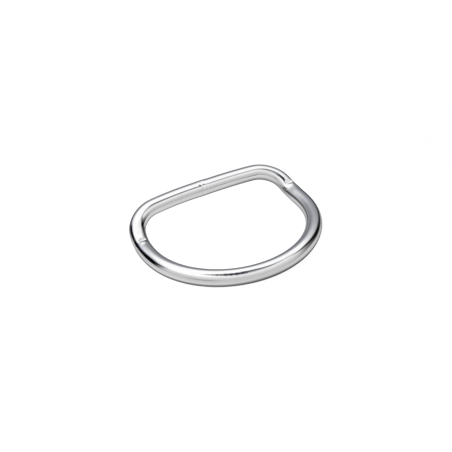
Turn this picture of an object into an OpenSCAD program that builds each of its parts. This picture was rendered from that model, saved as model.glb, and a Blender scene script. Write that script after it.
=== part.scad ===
// Bent D-ring: one length of round wire, closed by a butt weld in the
// middle of its straight bar, and folded across both arms so that the bar
// side stands up from the bow side. Millimetres, +Z up, +X along the bar.
// The bow side lies flat on z = 0 and the bar is raised at +Y.

/* [Wire] */
// Diameter of the round wire
wire_d = 5.3; // [4:0.1:6]
// Clear width between the arms, for webbing
inside_w = 51; // [48:0.5:56]

/* [Bar] */
// Length in the middle of the bar that is dead straight
bar_flat = 7.8; // [7:0.1:12]
// Turn of the slightly bowed bar on each side of the flat middle, degrees
bar_turn = 6; // [3:0.5:8]
// Centreline radius of the two corners
corner_r = 10.4; // [9:0.1:11.5]

/* [Bow] */
// Straight length of each arm between the fold and the bow
arm_l = 3.6; // [1:0.1:8]
// Centreline radius of the shoulder where each arm starts to close in
shoulder_r = 37.2; // [34:0.1:45]
// Turn of each shoulder, degrees
shoulder_turn = 10.6; // [4:0.2:16]

/* [Fold] */
// Angle between the bar side and the bow side, degrees
fold_angle = 30; // [15:1:40]
// Centreline radius of the fold in each arm
fold_r = 3.4; // [3.2:0.1:8]

/* [Press marks] */
// Radius of the die edge that pressed each mark
die_r = 2.2; // [1.5:0.1:3]
// Depth of each mark on the hollow side of the fold
mark_depth = 0.3; // [0.1:0.05:0.5]
// Left mark: distance from the middle of the fold towards the bow
mark_left = 1.1; // [0.9:0.1:3]
// Right mark: distance from the middle of the fold towards the bar
mark_right = 2.2; // [0.9:0.1:3]

/* [Weld] */
// Length of the swelling left by the ground butt weld
weld_l = 6; // [4:0.5:7]
// Height of the swelling above the wire
weld_h = 0.1; // [0.05:0.01:0.2]

/* [Hidden] */
$fn = 96;
wire_r = wire_d / 2;

// A length to the nearest thousandth
function snap(x) = round(x * 1000) / 1000;

// Centreline radius of the round front of the bow, closing the inside width
bow_r = snap(shoulder_r - (shoulder_r - inside_w / 2 - wire_r) / cos(shoulder_turn));
// Half width to the centreline of each arm
half_w = shoulder_r - (shoulder_r - bow_r) * cos(shoulder_turn);
// Centreline radius of the bowed part of the bar, closing the same width
bar_r = snap((half_w - corner_r - bar_flat / 2) / sin(bar_turn) + corner_r);
// Half length of the dead straight middle of the bar
flat_x = half_w - corner_r - (bar_r - corner_r) * sin(bar_turn);

// Length of wire in the fold
fold_l = fold_r * fold_angle * PI / 180;
// From the end of the fold to the middle of the bar, in the bar's plane
bar_reach = bar_r - (bar_r - corner_r) * cos(bar_turn);
// From the start of the fold to the front of the bow, in the bow's plane
bow_reach = arm_l + (shoulder_r - bow_r) * sin(shoulder_turn) + bow_r;
// The fold and the raised bar, seen from above
bar_span = fold_r * sin(fold_angle) + bar_reach * cos(fold_angle);
// Start of the fold, with the whole outline centred on y = 0
fold_y = (bow_reach - bar_span) / 2;
// Height of the centreline at the end of the fold
fold_z = wire_r + fold_r * (1 - cos(fold_angle));
// End of the fold, where the raised side begins
rise_y = fold_y + fold_r * sin(fold_angle);

// Moves in two steps, thousandths first and the small rest second, so that
// the round end of one length of wire meets the next one's exactly
module place(v) {
    coarse = [for (c = v) snap(c)];
    translate(coarse) translate(v - coarse) children();
}

// Cosine and sine of an angle within a hundredth of a degree of a, in whole
// millionths, chosen so that the two together have a length of 1
function unit_pair(a) =
    let (x0 = round(cos(a) * 1e6),
         tries = [for (x = [x0 - 60 : x0 + 60])
             let (y = round(sqrt(1e12 - x * x))) [abs(x * x + y * y - 1e12), x, y]],
         best = min([for (t = tries) t[0]]))
    [for (t = tries) if (t[0] == best) [t[1], t[2]] / 1e6][0];

// Tilts about X in two steps, for the same reason
module tilt(a) {
    p = unit_pair(a);
    multmatrix([[1, 0, 0, 0], [0, p[0], -p[1], 0], [0, p[1], p[0], 0], [0, 0, 0, 1]])
        rotate([a - atan2(p[1], p[0]), 0, 0]) children();
}

// Wire bent round the local origin, from angle a0 through a degrees
module arc(r, a0, a) {
    rotate_extrude(start = a0, angle = a) translate([r, 0]) circle(r = wire_r);
}

// The round front of the bow
module bow_front() {
    place([0, fold_y - bow_reach + bow_r, wire_r])
        arc(bow_r, 180 + shoulder_turn, 180 - 2 * shoulder_turn);
}

// Shoulder and straight arm on the right of the bow
module arm() {
    place([half_w - shoulder_r, fold_y - arm_l, wire_r])
        arc(shoulder_r, 360 - shoulder_turn, shoulder_turn);
    place([half_w, fold_y, wire_r])
        rotate([90, 0, 0]) cylinder(h = arm_l, r = wire_r);
}

// The fold in the right arm, rising from the bow's plane to the bar's
module fold() {
    place([half_w, fold_y, wire_r + fold_r])
        rotate([90, 0, 90]) arc(fold_r, 270, fold_angle);
}

// Corner and bowed half of the bar on the right, in the bar's plane, from
// the end of the fold at the local origin
module corner() {
    place([-corner_r, 0, 0]) arc(corner_r, 0, 90 - bar_turn);
    place([flat_x - half_w, bar_reach - bar_r, 0]) arc(bar_r, 90 - bar_turn, bar_turn);
    place([flat_x - half_w, bar_reach, 0])
        rotate([0, -90, 0]) cylinder(h = bar_flat / 2 - 0.5, r = wire_r);
}

// The swelling of the ground butt weld, which joins the two ends in the
// middle of the bar
module weld() {
    crest = wire_r + weld_h;
    root = wire_r - weld_h;
    place([-half_w, bar_reach, 0]) rotate([0, 90, 0]) rotate_extrude()
        polygon([[0, -weld_l / 2], [root, -weld_l / 2], [crest, -weld_l / 4],
                 [crest, weld_l / 4], [root, weld_l / 2], [0, weld_l / 2]]);
}

// Puts what starts at the end of the right fold into the raised plane
module raised() {
    place([half_w, rise_y, fold_z]) tilt(fold_angle) children();
}

// Everything in the raised plane of the bar
module bar_side() {
    raised() corner();
    mirror([1, 0, 0]) raised() corner();
    raised() weld();
}

// Everything in the flat plane of the bow, with the fold in each arm
module bow_side() {
    bow_front();
    arm();
    mirror([1, 0, 0]) arm();
    fold();
    mirror([1, 0, 0]) fold();
}

// Die edge lying across an arm, its lowest line mark_depth into the wire,
// with the wire's centreline along Y through the local origin
module die_edge() {
    translate([0, 0, wire_r - mark_depth + die_r]) rotate([0, 90, 0])
        cylinder(h = wire_d * 1.2, r = die_r, center = true);
}

// Both press marks, on the hollow side of the fold
module press_marks() {
    // left, just past the fold on the bow side
    translate([-half_w, fold_y - (mark_left - fold_l / 2), wire_r]) die_edge();
    // right, just past the fold on the bar side
    translate([half_w, rise_y, fold_z]) rotate([fold_angle, 0, 0])
        translate([0, mark_right - fold_l / 2, 0]) die_edge();
}

// The ring is one piece of wire, so it is one solid
module d_ring() {
    color("silver") difference() {
        union() {
            bow_side();
            bar_side();
        }
        press_marks();
    }
}

d_ring();
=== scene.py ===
import math

import bpy
import numpy as np
from mathutils import Matrix


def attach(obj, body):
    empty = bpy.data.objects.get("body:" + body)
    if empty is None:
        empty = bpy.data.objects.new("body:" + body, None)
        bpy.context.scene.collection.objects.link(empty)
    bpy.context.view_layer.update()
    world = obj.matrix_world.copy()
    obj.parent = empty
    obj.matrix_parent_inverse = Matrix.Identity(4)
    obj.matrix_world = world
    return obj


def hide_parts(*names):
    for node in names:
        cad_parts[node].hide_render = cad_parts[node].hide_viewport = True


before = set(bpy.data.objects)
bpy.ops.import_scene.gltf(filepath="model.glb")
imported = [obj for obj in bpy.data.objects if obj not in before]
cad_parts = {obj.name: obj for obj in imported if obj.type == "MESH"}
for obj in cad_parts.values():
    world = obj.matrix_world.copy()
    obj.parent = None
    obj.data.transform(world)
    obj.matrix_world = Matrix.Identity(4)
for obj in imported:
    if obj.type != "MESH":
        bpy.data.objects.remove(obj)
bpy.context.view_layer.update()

# A bent D-ring of plated round wire, in metres, in the frame of the CAD part.
# The ring is one swept mesh on the CAD part's own centreline. Everything else
# is the stage: a pale floor, soft studio light, a second floor with painted
# light and shade that only the reflections see, and the camera.

# ------------------------------------------------------------- the wire path
# Lengths in millimetres here; the mesh is scaled to metres when it is made.
DEG = math.pi / 180
WIRE_R = 2.65
HALF_W = 28.1501       # centreline of each arm
BOW_R = 27.993         # round front of the bow
SHOULDER_R = 37.2
SHOULDER_T = 10.6 * DEG
ARM_L = 3.6
FOLD_R = 3.4
FOLD_T = 30 * DEG
CORNER_R = 10.4
BAR_T = 6 * DEG        # turn of the bowed bar on each side
BAR_R = 142.901
FLAT_X = 3.9           # straight middle of the bar
FOLD_Y = 10.9757
BAR_REACH = BAR_R - (BAR_R - CORNER_R) * math.cos(BAR_T)
BOW_REACH = ARM_L + (SHOULDER_R - BOW_R) * math.sin(SHOULDER_T) + BOW_R
BOW_Y = FOLD_Y - BOW_REACH + BOW_R

# Lengths of wire, counted from the middle of the bar towards an arm
L_FLAT = FLAT_X
L_BAR = L_FLAT + BAR_R * BAR_T
L_CORNER = L_BAR + CORNER_R * (90 * DEG - BAR_T)
L_FOLD = L_CORNER + FOLD_R * FOLD_T
L_ARM = L_FOLD + ARM_L
L_SHOULDER = L_ARM + SHOULDER_R * SHOULDER_T
L_HALF = L_SHOULDER + BOW_R * (90 * DEG - SHOULDER_T)

# The two planes of the ring meet at this y. The press that folded the wire
# came down a little askew: nearer the bar on the right than on the left. Each
# pair of values is for the left and for the right.
CREASE = FOLD_Y + FOLD_R * math.tan(FOLD_T / 2)
CREASE_SHIFT = (-1.401, 0.697)       # of the crease, towards the bar
SLACK = (-0.45, 0.3)              # wire pushed past the crease
SOFT_UP = (1.504, 1.363)      # softness of the fold on the bar's side
SOFT_DOWN = (1.112, 1.613)  # and on the bow's side


def outline(d):
    """The right half of the ring as it was before the fold, lying flat:
    x and y at distance d from the bar's middle."""
    y0 = CREASE + FOLD_R * math.tan(FOLD_T / 2)      # where the corner begins
    if d <= L_FLAT:
        return d, y0 + BAR_REACH
    if d <= L_BAR:
        a = 90 * DEG - (d - L_FLAT) / BAR_R
        return FLAT_X + BAR_R * math.cos(a), y0 + BAR_REACH - BAR_R + BAR_R * math.sin(a)
    if d <= L_CORNER:
        a = (90 * DEG - BAR_T) - (d - L_BAR) / CORNER_R
        return HALF_W - CORNER_R + CORNER_R * math.cos(a), y0 + CORNER_R * math.sin(a)
    if d <= L_ARM:
        return HALF_W, FOLD_Y - (d - L_FOLD)
    if d <= L_SHOULDER:
        a = -(d - L_ARM) / SHOULDER_R
        return HALF_W - SHOULDER_R + SHOULDER_R * math.cos(a), FOLD_Y - ARM_L + SHOULDER_R * math.sin(a)
    a = -SHOULDER_T - (d - L_SHOULDER) / BOW_R
    return BOW_R * math.cos(a), BOW_Y + BOW_R * math.sin(a)


def bell(x, centre, width):
    return np.exp(-((x - centre) / width) ** 2)


def step(x, edge, soft):
    t = np.clip((x - edge) / soft * 0.5 + 0.5, 0, 1)
    return t * t * (3 - 2 * t)


# Where the rings of vertices lie, closer together at the press marks
def ring_places():
    marks = (-36.2, 33.0)
    out = [-L_HALF]
    while out[-1] < L_HALF:
        d = min(abs(out[-1] - m) for m in marks)
        out.append(out[-1] + 0.085 + 0.115 * min(1.0, max(0.0, (d - 2.2) / 2.0)))
    out = np.array(out)
    # the last ring would be the first one again, so it is left out
    return (-L_HALF + (out - out[0]) * (2 * L_HALF / (out[-1] - out[0])))[:-1]


S = ring_places()                       # signed distance, + on the right
SIDES = 96
PHI = np.linspace(0, 2 * math.pi, SIDES, endpoint=False)
PHI = PHI - 0.35 * np.sin(PHI)          # 0 on top, 90 outward; closer on top

# The path in even steps, then softened: bent wire has no sudden changes of
# curvature.
EVEN = np.linspace(-L_HALF, L_HALF, 1704, endpoint=False)
mid = np.zeros((1704, 3))
for i, s in enumerate(EVEN):
    x, y = outline(abs(s))
    mid[i] = (-x if s < 0 else x), y, 0


def soften(values, spread):
    gap = (EVEN[None, :] - EVEN[:, None] + L_HALF) % (2 * L_HALF) - L_HALF
    w = np.exp(-0.5 * (gap / spread) ** 2)
    return (w @ values) / w.sum(1, keepdims=True)


mid = soften(mid, 0.6)
# the arms are not quite alike
mid[:, 0] += 0.122 * bell(EVEN, -33.0, 3.5) + 0.213 * bell(EVEN, 36.0, 2.8)
mid[:, 1] -= 0.2 * bell(EVEN, 8.0, 11.0)               # the bar sags a little here
mid[:, 0] += -0.108 * bell(EVEN, -29.0, 2.5) + 0.159 * bell(EVEN, 29.0, 2.5)


def across(pair):
    """The value at each x between the left arm's and the right arm's."""
    return (pair[0] + pair[1]) / 2 + (pair[1] - pair[0]) / (2 * HALF_W) * mid[:, 0]


slope = (CREASE_SHIFT[1] - CREASE_SHIFT[0]) / (2 * HALF_W)
crease = CREASE + across(CREASE_SHIFT)
mid[:, 1] += across(SLACK) * step(mid[:, 1] - crease, 4.0, 4.0)

# The fold: beyond the crease the sheet that the ring lies in turns up
turn_line = np.array([1.0, slope, 0]) / math.hypot(1, slope)
ahead = np.array([-turn_line[1], turn_line[0], 0])
past = (mid[:, 1] - crease) * ahead[1]                # distance past the crease
run = np.linspace(-20, 60, 8001)


def fold(up, down):
    """Tilt, advance and rise at each distance of run past the crease."""
    tilt = FOLD_T * np.array([0.5 * (1 + math.erf(r / (down if r < 0 else up) / math.sqrt(2))) for r in run])
    fwd, rise = np.cumsum(np.cos(tilt)) * 0.01, np.cumsum(np.sin(tilt)) * 0.01
    return np.stack([tilt, fwd + (-20 - fwd[0]), rise], 1)


share = np.clip(mid[:, 0] / HALF_W * 0.5 + 0.5, 0, 1)[:, None]
both = [np.stack([np.interp(past, run, f[:, k]) for k in range(3)], 1)
        for f in (fold(SOFT_UP[0], SOFT_DOWN[0]), fold(SOFT_UP[1], SOFT_DOWN[1]))]
tilt_at, fwd, rise = (both[0] * (1 - share) + both[1] * share).T
fwd = np.where(past < -20, past, fwd)
foot = mid - past[:, None] * ahead
mid = foot + fwd[:, None] * ahead
mid[:, 2] = WIRE_R + rise
top = np.cos(tilt_at)[:, None] * [0, 0, 1.0] - np.sin(tilt_at)[:, None] * ahead

along = np.roll(mid, -1, 0) - np.roll(mid, 1, 0)
out_ = np.cross(top, along)                    # outward, square to both
out_ /= np.linalg.norm(out_, axis=1, keepdims=True)
top = np.cross(along, out_)
top /= np.linalg.norm(top, axis=1, keepdims=True)


def at(values):
    return np.stack([np.interp(S, EVEN, values[:, k], period=2 * L_HALF) for k in range(3)], 1)


C, B, O = at(mid), at(top), at(out_)

s2, f2 = np.meshgrid(S, PHI, indexing="ij")
f2 = (f2 + math.pi) % (2 * math.pi) - math.pi        # -180..180
deg = f2 / DEG


def wander(seed, n, low, high):
    """Sum of n soft waves that close round the loop, about 1 high."""
    rng = np.random.RandomState(seed)
    total = np.zeros_like(s2)
    for _ in range(n):
        k = rng.randint(low, high)               # whole waves round the loop
        m = rng.randint(0, 3)                    # whole waves round the wire
        a = rng.uniform(0, 2 * math.pi, 2)
        total += np.sin(s2 * math.pi * k / L_HALF + m * f2 + a[0]) * rng.uniform(0.5, 1)
    return total / math.sqrt(n)


swell = np.zeros_like(s2)
# long soft unevenness of drawn and bent wire
swell += 0.006 * wander(3, 8, 4, 14)
swell += 0.0012 * wander(7, 24, 24, 90)


def die_cut(s0, radius, depth, centre, yaw):
    """The print of a round die edge pressed across the top of the wire."""
    u = s2 - s0 - yaw * np.sin(f2)
    lowest = WIRE_R - depth + radius - np.sqrt(np.maximum(radius * radius - u * u, 1e-4))
    lowest = np.where(np.abs(u) >= 0.98 * radius, 9, lowest)
    spare = lowest / np.maximum(np.cos(f2 - centre * DEG), 0.05) - WIRE_R
    return -0.5 * (np.sqrt(spare * spare + 0.02 ** 2) - spare)


def lip(s0, height, centre, width=0.55):
    """Metal that the die pushed up beside its print."""
    return height * bell(s2, s0, width) * bell(deg, centre, 28)


def out_of_round(s0, c2, n2, c3, n3):
    """Two- and three-sided squeeze of the wire in the press."""
    return bell(s2, s0, 3.0) * (c2 * np.cos(2 * f2) + n2 * np.sin(2 * f2) + c3 * np.cos(3 * f2) + n3 * np.sin(3 * f2))


swell += die_cut(-36.239, 2.019, 0.373, -3.9, -0.571)
swell += lip(-34.661, 0.041, -3.9) + lip(-38.016, 0.115, -3.9, 0.8)
swell += out_of_round(-34.487, -0.02, 0.089, 0.032, 0.006)
swell += die_cut(33.214, 2.889, 0.437, 1.4, 0.486)
swell += lip(31.275, -0.036, 1.4) + lip(35.152, 0.013, 1.4)
swell += out_of_round(35.759, 0.02, 0.011, -0.023, 0.091)


def ripple(seed, waves, short, long):
    """Fine unevenness in all directions on the surface, about 1 high."""
    rng = np.random.RandomState(seed)
    total = np.zeros_like(s2)
    for _ in range(waves):
        k = 2 * math.pi / rng.uniform(short, long)
        a, p = rng.uniform(0, math.pi), rng.uniform(0, 2 * math.pi)
        total += np.sin(k * (s2 * math.cos(a) + WIRE_R * f2 * math.sin(a)) + p)
    return total * math.sqrt(2 / waves)


# ground butt weld, about a millimetre to the left of the bar's middle
swell += 0.05 * bell(s2, -1.2, 2.2) * (0.7 + 0.3 * np.cos(f2 - 0.4))
swell += 0.015 * (np.sin(2.6 * s2) + np.sin(4.1 * s2 + 2.0 + np.cos(f2))) * bell(s2, -0.9, 2.0)
swell += 0.06 * bell(s2, -0.6, 1.3) * np.sin(2 * f2)
swell += 0.018 * ripple(11, 24, 0.9, 1.8) * bell(s2, -0.8, 1.8) * (0.5 + 0.5 * np.cos(f2))
# the front of the bow is a little ragged to the left of its middle
from_tip = np.where(s2 > 0, L_HALF - s2, -L_HALF - s2)
swell += 0.0065 * ripple(5, 30, 0.8, 1.8) * bell(from_tip, -11.5, 5.5) * bell(deg, 32, 16)

radius = WIRE_R + swell
P = C[:, None, :] + radius[:, :, None] * (
    B[:, None, :] * np.cos(f2)[:, :, None] + O[:, None, :] * np.sin(f2)[:, :, None])

# Faces, closed both ways
n, m = len(S), SIDES
i, j = np.meshgrid(np.arange(n), np.arange(m), indexing="ij")
a = i * m + j
b = ((i + 1) % n) * m + j
c = ((i + 1) % n) * m + (j + 1) % m
d = i * m + (j + 1) % m
faces = np.stack([a, b, c, d], -1).reshape(-1, 4)

mesh = bpy.data.meshes.new("d_ring_wire")
mesh.vertices.add(n * m)
mesh.vertices.foreach_set("co", (P.reshape(-1) / 1000).astype(np.float32))
mesh.loops.add(len(faces) * 4)
mesh.loops.foreach_set("vertex_index", faces.reshape(-1).astype(np.int32))
mesh.polygons.add(len(faces))
mesh.polygons.foreach_set("loop_start", (np.arange(len(faces)) * 4).astype(np.int32))
mesh.polygons.foreach_set("use_smooth", np.ones(len(faces), bool))

# One map, along the wire and round it: v keeps to 0..1 round the wire
uv = mesh.uv_layers.new(name="wire")
turn = (np.append(S, L_HALF) + L_HALF) / (2 * L_HALF)
u4 = np.stack([turn[i], turn[i + 1], turn[i + 1], turn[i]], -1).reshape(-1)
around = np.append(PHI, 2 * math.pi) / (2 * math.pi)
v4 = np.stack([around[j], around[j], around[j + 1], around[j + 1]], -1).reshape(-1)
uv.data.foreach_set("uv", np.stack([u4, v4], -1).reshape(-1).astype(np.float32))
mesh.update(calc_edges=True)
mesh.validate()

ring = bpy.data.objects.new("d_ring_wire", mesh)
bpy.context.scene.collection.objects.link(ring)


# ------------------------------------------------------------------ node help
class Nodes:
    """Short names for building a node tree."""

    def __init__(self, tree):
        self.tree = tree
        tree.nodes.clear()

    def new(self, kind, **props):
        node = self.tree.nodes.new(kind)
        for k, v in props.items():
            setattr(node, k, v)
        return node

    def put(self, socket, value):
        if isinstance(value, bpy.types.NodeSocket):
            self.tree.links.new(value, socket)
        else:
            socket.default_value = value

    def math(self, op, x, y=None, z=None, clamp=False):
        node = self.new("ShaderNodeMath", operation=op, use_clamp=clamp)
        for k, v in enumerate((x, y, z)):
            if v is not None:
                self.put(node.inputs[k], v)
        return node.outputs[0]

    def ramp(self, x, lo, hi, a=0.0, b=1.0, soft=True):
        node = self.new("ShaderNodeMapRange", interpolation_type="SMOOTHSTEP" if soft else "LINEAR")
        for k, v in enumerate((x, lo, hi, a, b)):
            self.put(node.inputs[k], v)
        return node.outputs[0]

    def mix(self, fac, a, b):
        node = self.new("ShaderNodeMix", data_type="RGBA")
        self.put(node.inputs[0], fac)
        self.put(node.inputs[6], a if isinstance(a, bpy.types.NodeSocket) else (*a, 1))
        self.put(node.inputs[7], b if isinstance(b, bpy.types.NodeSocket) else (*b, 1))
        return node.outputs[2]


# ---------------------------------------------------------------- the plating
# Bright plating over drawn wire: faint lines along the wire, sparse hairline
# scratches, an uneven gloss, a grained patch low on the front of the bow and
# cross-ground marks at the weld.
LOOP = 2 * L_HALF
TAU = 2 * math.pi

mat = bpy.data.materials.new("plated_wire")
mat.use_nodes = True
t = Nodes(mat.node_tree)
bsdf = t.new("ShaderNodeBsdfPrincipled")
t.put(t.new("ShaderNodeOutputMaterial").inputs["Surface"], bsdf.outputs[0])
bsdf.inputs["Metallic"].default_value = 1.0
bsdf.inputs["Specular Tint"].default_value = (0.44, 0.45, 0.48, 1)

wire_map = t.new("ShaderNodeSeparateXYZ")
t.put(wire_map.inputs[0], t.new("ShaderNodeUVMap", uv_map="wire").outputs[0])
u, v = wire_map.outputs[0], wire_map.outputs[1]
place_s = t.math("MULTIPLY", t.math("SUBTRACT", u, 0.5), LOOP)     # mm from the bar's middle
turn_u, turn_v = t.math("MULTIPLY", u, TAU), t.math("MULTIPLY", v, TAU)
cu, su = t.math("COSINE", turn_u), t.math("SINE", turn_u)
cv, sv = t.math("COSINE", turn_v), t.math("SINE", turn_v)


def grain(per_mm_round, per_mm_along, shift, detail=2.0, twist=0.0):
    """Noise on the wire, closed round it and round the loop."""
    turned = turn_v if not twist else t.math("ADD", turn_v, t.math("MULTIPLY", turn_u, twist))
    c, s = t.math("COSINE", turned), t.math("SINE", turned)
    xyz = t.new("ShaderNodeCombineXYZ")
    t.put(xyz.inputs[0], t.math("MULTIPLY", c, WIRE_R * per_mm_round))
    t.put(xyz.inputs[1], t.math("MULTIPLY", s, WIRE_R * per_mm_round))
    t.put(xyz.inputs[2], t.math("MULTIPLY_ADD", cu, LOOP / TAU * per_mm_along, shift))
    node = t.new("ShaderNodeTexNoise", noise_dimensions="4D")
    t.put(node.inputs["Vector"], xyz.outputs[0])
    t.put(node.inputs["W"], t.math("MULTIPLY", su, LOOP / TAU * per_mm_along))
    node.inputs["Scale"].default_value = 1.0
    node.inputs["Detail"].default_value = detail
    return node.outputs[0]


drawn = grain(6.0, 0.04, 3.0)                        # lines left by the drawing die
coarse = grain(1.7, 0.10, 11.0)                      # broader, softer lines
patch = grain(0.22, 0.18, 23.0, 3.0)                 # cloudy gloss
fine = grain(5.0, 5.0, 41.0, 3.0)                    # grain of the plating
streak = grain(3.2, 0.55, 71.0, 3.0)                 # faint streaks of tone
hair = t.math("ABSOLUTE", t.math("SUBTRACT", grain(0.7, 0.16, 57.0, 1.0, 3.0), 0.5))
hair = t.math("MULTIPLY", t.ramp(hair, 0.0, 0.006, 1.0, 0.0), t.ramp(patch, 0.50, 0.62))

# the grained patch on the bow and the ground zone at the weld
low_front = t.math("MULTIPLY", t.ramp(cu, 0.55, 0.95), t.math("MULTIPLY", t.ramp(sv, 0.55, 0.9), t.ramp(cv, 0.75, 0.35)))
weld_zone = t.math("SUBTRACT", 1.0, t.ramp(t.math("ABSOLUTE", t.math("ADD", place_s, 1.2)), 1.2, 3.0))
ground_xyz = t.new("ShaderNodeCombineXYZ")
t.put(ground_xyz.inputs[0], t.math("MULTIPLY", place_s, 5.0))
t.put(ground_xyz.inputs[1], t.math("MULTIPLY", cv, 1.4))
t.put(ground_xyz.inputs[2], t.math("MULTIPLY", sv, 1.4))
ground = t.new("ShaderNodeTexNoise", noise_dimensions="3D")
t.put(ground.inputs["Vector"], ground_xyz.outputs[0])
ground.inputs["Scale"].default_value = 1.0
ground.inputs["Detail"].default_value = 3.0

# height in micrometres
height = t.math("MULTIPLY", drawn, 0.8)
height = t.math("ADD", height, t.math("MULTIPLY", coarse, 1.6))
height = t.math("ADD", height, t.math("MULTIPLY", fine, t.math("MULTIPLY_ADD", low_front, 2.2, 0.15)))
height = t.math("ADD", height, t.math("MULTIPLY", ground.outputs[0], t.math("MULTIPLY", weld_zone, 7.0)))
height = t.math("SUBTRACT", height, t.math("MULTIPLY", hair, 0.5))
bump = t.new("ShaderNodeBump")
bump.inputs["Strength"].default_value = 1.0
bump.inputs["Distance"].default_value = 1e-6
t.put(bump.inputs["Height"], height)
t.put(bsdf.inputs["Normal"], bump.outputs[0])

rough = t.ramp(patch, 0.35, 0.7, 0.012, 0.035)
rough = t.math("ADD", rough, t.math("MULTIPLY", t.ramp(drawn, 0.45, 0.75), 0.020))
rough = t.math("ADD", rough, t.math("MULTIPLY", hair, 0.10))
rough = t.math("ADD", rough, t.math("MULTIPLY", low_front, 0.05))
rough = t.math("ADD", rough, t.math("MULTIPLY", weld_zone, 0.04))
t.put(bsdf.inputs["Roughness"], rough)
tone = t.math("ADD", t.math("MULTIPLY", t.ramp(patch, 0.3, 0.75), 0.4), t.math("MULTIPLY", t.ramp(streak, 0.3, 0.7), 0.6))
t.put(bsdf.inputs["Base Color"], t.mix(tone, (0.622, 0.620, 0.620), (0.574, 0.574, 0.579)))
mesh.materials.append(mat)

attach(ring, "root")
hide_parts("d_ring")

# ----------------------------------------------------------------- the studio
scene = bpy.context.scene
scene.view_settings.view_transform = "Standard"
scene.view_settings.look = "None"
scene.view_settings.exposure = 0.0
scene.view_settings.gamma = 1.0

world = bpy.data.worlds.new("studio")
scene.world = world
world.use_nodes = True
w = Nodes(world.node_tree)
bg = w.new("ShaderNodeBackground")
bg.inputs[0].default_value = (1.0, 1.0, 1.0, 1)
w.put(w.new("ShaderNodeOutputWorld").inputs[0], bg.outputs[0])

# The ring lies in a round tent of glowing sheets, with a wide softbox as its
# ceiling, that only its reflections see. The curves below aren't a measured
# studio: they were fitted by least squares to the tones of the plating in the
# photo, and some were then set one by one. The light of each sheet is worked
# out here and kept on the vertices of its mesh.
METAL = 0.60           # share of light that the plating sends back
WHITE = 1.64           # the softbox
UNLIT = 0.005          # gaps in the cloth, where the dark room shows


def light_of(tone):
    """Light that the plating shows as this sRGB tone."""
    v = np.clip(tone, 5, 275) / 255
    return np.where(v < 0.04045, v / 12.92, ((v + 0.055) / 1.055) ** 2.4) / METAL


def ease(x, lo, hi):
    t = np.clip((x - lo) / (hi - lo), 0, 1)
    return t * t * (3 - 2 * t)


def through(x, *knots):
    """A smooth curve through the knots (x, y)."""
    px, py = np.array(knots, float).T
    slopes = np.gradient(py, px)
    k = np.clip(np.searchsorted(px, x) - 1, 0, len(px) - 2)
    h = px[k + 1] - px[k]
    t = np.clip((x - px[k]) / h, 0, 1)
    return ((2 * t**3 - 3 * t**2 + 1) * py[k] + (t**3 - 2 * t**2 + t) * h * slopes[k]
            + (3 * t**2 - 2 * t**3) * py[k + 1] + (t**3 - t**2) * h * slopes[k + 1])


def wall_light(az, el):
    """Light of the wall at a heading and a height in degrees, seen from the
    ring. Heading 0 is +Y and 90 is +X."""
    light = light_of(through(el, (0, 192), (5, 194), (10, 192), (18, 200), (26, 206), (34, 218), (42, 233), (50, 231), (60, 171)))
    low = ease(az, -148, -128) * (1 - ease(az, -120, -96)) * (1 - ease(el, 8, 16))
    light = light * (1 - 0.35 * low)
    # the back, with a brighter seam on the left, a darker low right corner and
    # a low shade right of the middle
    back = light_of(through(el, (0, 110), (4, 130), (8, 178), (14, 138), (22, 140), (28, 149), (34, 171), (40, 207), (46, 254), (52, 310), (60, 366)))
    back = back * (1 + 1.03 * bell(az, -29.9, 14.9) * ease(el, 12, 24))
    back = back * (1 - 0.76 * ease(az, 28, 52) * (1 - ease(el, 6, 18)))
    back = back * (1 - 0.25 * bell(az, 24, 11) * (1 - ease(el, 16, 28)))
    is_back = ease(az, -54.1, -48.9) * (1 - ease(az, 21.3, 136.4))
    light = light + (back - light) * is_back
    # the gap on the left leans outwards and closes upwards
    off = (az - through(el, (0, -34), (8, -42), (16, -50), (24, -54.9), (32, -58.6), (42, -73.1))) / np.maximum(through(el, (0, 20.2), (8, 18.8), (16, 11.1), (24, 9.8), (32, 8.9), (42, -0.8)), 0.05)
    gap = (1 - ease(np.abs(off), 0.95, 2.37)) * (1 - ease(el, 28, 36))
    light = light + (UNLIT - light) * gap
    # the gap on the right leans outwards and narrows upwards
    off = (az - through(el, (0, 65.5), (6, 88.5), (14, 93.9), (22, 97.2), (30, 100.7), (38, 104.3), (46, 111.2), (54, 115.6), (62, 120.3))) / np.maximum(through(el, (0, 33.9), (6, 15.8), (14, 12.1), (22, 8.9), (30, 6.2), (38, 4.9), (46, 1.9), (54, 1), (62, -0.4)), 0.05)
    gap = ease(off, -3.26, -0.84) * (1 - ease(off, -0.08, 3.91))
    light = light + (UNLIT - light) * gap
    return np.minimum(light, WHITE), is_back, off


def ceiling_light(x, y):
    """Light of the ceiling, x and y in millimetres."""
    light = 1.54 + (WHITE - 1.54) * ease(y, -150, -60)
    rear = through(x, (-350, 123), (-250, 240), (-150, 324), (-50, 331), (80, 281), (200, 205))
    light = light + (1.03 - light) * ease(y, rear - 72, rear + 72)
    # the gap between the softbox and the front cloth
    off = (y - through(x, (-150, -5), (-100, -29), (-50, -57), (0, -55), (50, -50), (100, -85), (150, -123), (210, -170))) / np.maximum(through(x, (-150, 2), (-115, 15), (-80, 48), (-50, 72), (-20, 53), (10, 32), (50, 25), (100, 18), (150, 44), (210, 38)), 0.3)
    gap = ease(off, -7.58, 0.13) * (1 - ease(off, -0.45, 3)) * ease(x, -150, -110)
    gap = gap * (1 - ease(y, -8, 10))
    return light + (UNLIT - light) * gap, gap


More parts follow.
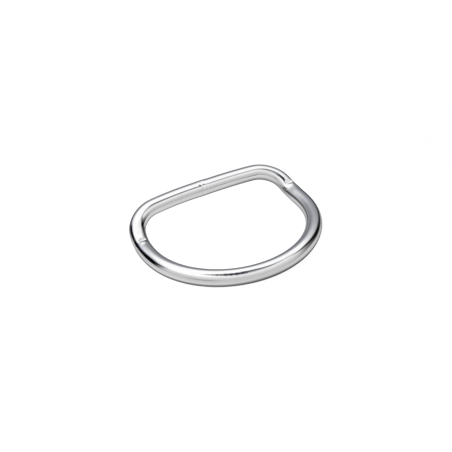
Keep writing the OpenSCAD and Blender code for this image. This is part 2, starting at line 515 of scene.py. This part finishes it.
def floor_light_and_painted_shade(x, y, gap, inside):
    """Light of the floor that the reflections see: pale, darker at the back and on
    the right, with painted shadow below the raised bar and close under the wire."""
    light = light_of(through(0.276 * x + 0.96 * y, (-260, 247), (-120, 249), (-60, 270), (-30, 263), (-10, 284), (10, 330), (25, 199), (40, 86), (60, 173), (120, 191), (260, 187)))
    # Painted contact shadow: the floor's light drops close under the wire, by other amounts inside and outside the
    # loop.
    outer_shade = np.clip(through(gap, (2.6, 0.28), (3, 0.24), (3.5, 0.16), (4.2, 0.21), (5.1, 0.53), (6.5, 0.59), (9, 0.52)), 0.01, 1.5)
    inner_shade = np.clip(through(gap, (2.6, 0.08), (3, 0.12), (3.5, 0.31), (4.2, 0.54), (5.1, 0.63), (6.5, 0.57), (8, 0.56), (9.5, 0.53), (11.5, 0.53), (14.5, 0.53), (20, 0.44)), 0.01, 1.5)
    # Painted shadow of the raised bar: a dark strip on the floor under it.
    light = light * (1 - 0.62 * bell(y, 23.5, 3.2) * (1 - ease(np.abs(x), 22, 34)))
    # Deeper painted contact shadow outside the wire at the front, from the middle to the right.
    outer_shade = outer_shade * (1 - 0.35 * ease(x, -20, 4) * (1 - ease(y, -8, 4)) * (1 - ease(gap, 5, 8)))
    # Darker outside the wire to the right of the right arm.
    outer_shade = outer_shade * (1 - 0.62 * ease(x, 40, 52) * (1 - ease(x, 110, 140)) * ease(y, -36, -18) * (1 - ease(y, 60, 90)))
    return light * np.where(inside, inner_shade, outer_shade)


def glowing(name):
    """Cloth, or the reflected floor with its painted shade, that shows the light kept on its vertices."""
    m = bpy.data.materials.new(name)
    m.use_nodes = True
    k = Nodes(m.node_tree)
    e = k.new("ShaderNodeEmission")
    k.put(e.inputs[0], k.new("ShaderNodeAttribute", attribute_name="glow").outputs["Color"])
    k.put(k.new("ShaderNodeOutputMaterial").inputs[0], e.outputs[0])
    return m


def sheet(name, x, y, z, light, tint=1.0, closed=False):
    """A glowing sheet, cloth or the reflected floor, from a grid of points in millimetres, with its light and any
    painted shade.
    """
    rows, cols = x.shape
    me = bpy.data.meshes.new(name)
    me.vertices.add(rows * cols)
    me.vertices.foreach_set("co", (np.stack([x, y, z], -1).reshape(-1) / 1000).astype(np.float32))
    i, j = np.meshgrid(np.arange(rows - 1), np.arange(cols if closed else cols - 1), indexing="ij")
    q = (j + 1) % cols
    quads = np.stack([i * cols + j, i * cols + q, (i + 1) * cols + q, (i + 1) * cols + j], -1).reshape(-1, 4)
    me.loops.add(len(quads) * 4)
    me.loops.foreach_set("vertex_index", quads.reshape(-1).astype(np.int32))
    me.polygons.add(len(quads))
    me.polygons.foreach_set("loop_start", (np.arange(len(quads)) * 4).astype(np.int32))
    glow = np.ones((rows, cols, 4))
    glow[..., :3] = light[..., None] * tint
    me.color_attributes.new("glow", "FLOAT_COLOR", "POINT").data.foreach_set("color", glow.reshape(-1).astype(np.float32))
    me.update(calc_edges=True)
    me.materials.append(glowing(name))
    ob = bpy.data.objects.new(name, me)
    scene.collection.objects.link(ob)
    ob.visible_camera = ob.visible_shadow = False
    return ob


def colour(share, rgb):
    """A tint of rgb where share is 1, and none where it is 0."""
    return 1 + share[..., None] * (np.array(rgb) - 1)


# the round wall and the ceiling of the tent
TX, TY, TR, TH = -80.0, 100.0, 290.0, 300.0
turn_, rise = np.meshgrid(np.linspace(0, 2 * math.pi, 480, endpoint=False), np.linspace(-10, TH, 90))
x, y, z = TX + TR * np.cos(turn_), TY + TR * np.sin(turn_), rise
az = np.arctan2(x, y) / DEG
el = np.arctan2(z, np.hypot(x, y)) / DEG
light, is_back, off = wall_light(az, el)
# the back wall is bluish low down, and the gap beside it bluish at its edge
tint = colour(is_back * (1 - ease(el, 14, 50)), (0.95, 0.99, 1.11))
tint = tint * colour(bell(az, -56, 14) * ease(el, 2, 10), (0.93, 0.98, 1.14))
sheet("tent_wall", x, y, z, light, tint, closed=True)

x, y = np.meshgrid(np.linspace(TX - TR, TX + TR, 260), np.linspace(TY - TR, TY + TR, 260))
light, gap = ceiling_light(x, y)
sheet("tent_top", x, y, np.full_like(x, TH), light, colour(gap, (0.93, 0.99, 1.12)))

# the floor that the plating sees: a glowing sheet with painted light and
# painted shadow under the bar and the wire, in finer steps near the ring
near_steps = np.arange(-42, 42.1, 0.6)
far_steps = 42 + 0.6 * (1.12 ** np.arange(1, 41) - 1) / 0.12
steps = np.concatenate([-far_steps[::-1], near_steps, far_steps])
x, y = np.meshgrid(steps, steps)
here = np.stack([x, y, np.zeros_like(x)], -1).reshape(-1, 3)
closest = np.full(len(here), 99.0)
inside = np.zeros(len(here), bool)
for k in np.flatnonzero(np.abs(here[:, :2]).max(1) < 45):
    away = here[k] - mid
    i = np.argmin((away * away).sum(1))
    closest[k] = math.sqrt(away[i] @ away[i])
    inside[k] = away[i, :2] @ out_[i, :2] < 0
gap = closest.reshape(x.shape)
sheet("floor_glow_painted_shade", x, y, np.zeros_like(x), floor_light_and_painted_shade(x, y, gap, inside.reshape(x.shape)), (1.008, 1.0, 1.0))

# the floor that the camera sees
floor_mat = bpy.data.materials.new("floor_pale")
floor_mat.use_nodes = True
k = Nodes(floor_mat.node_tree)
d = k.new("ShaderNodeBsdfDiffuse")
d.inputs[0].default_value = (0.15, 0.15, 0.15, 1)
e = k.new("ShaderNodeEmission")
e.inputs[0].default_value = (0.93, 0.93, 0.93, 1)
add = k.new("ShaderNodeAddShader")
k.put(add.inputs[0], d.outputs[0])
k.put(add.inputs[1], e.outputs[0])
k.put(k.new("ShaderNodeOutputMaterial").inputs[0], add.outputs[0])
me = bpy.data.meshes.new("floor")
me.from_pydata([(2.0 * math.cos(q * math.pi / 32), 2.0 * math.sin(q * math.pi / 32), 0) for q in range(64)], [], [tuple(range(64))])
me.materials.append(floor_mat)
floor = bpy.data.objects.new("floor", me)
scene.collection.objects.link(floor)
floor.visible_glossy = floor.visible_diffuse = floor.visible_transmission = floor.visible_shadow = False

# ----------------------------------------------------------------- the camera
AZ, EL, ROLL = -0.4248, 0.587, -0.1089
back = np.array([math.sin(AZ) * math.cos(EL), -math.cos(AZ) * math.cos(EL), math.sin(EL)])
right0 = np.array([math.cos(AZ), math.sin(AZ), 0.0])
up0 = np.cross(back, right0)
right = math.cos(ROLL) * right0 + math.sin(ROLL) * up0
up = -math.sin(ROLL) * right0 + math.cos(ROLL) * up0
cam_data = bpy.data.cameras.new("camera")
cam_data.sensor_width = 36
cam_data.lens = 52.40
cam_data.clip_start = 0.01
cam_data.clip_end = 20
cam = bpy.data.objects.new("camera", cam_data)
place = Matrix.Identity(4)
for k, col in enumerate((right, up, back, np.array([-0.07440992, -0.15746804, 0.12143100]))):
    for q in range(3):
        place[q][k] = float(col[q])
cam.matrix_world = place
scene.collection.objects.link(cam)
scene.camera = cam
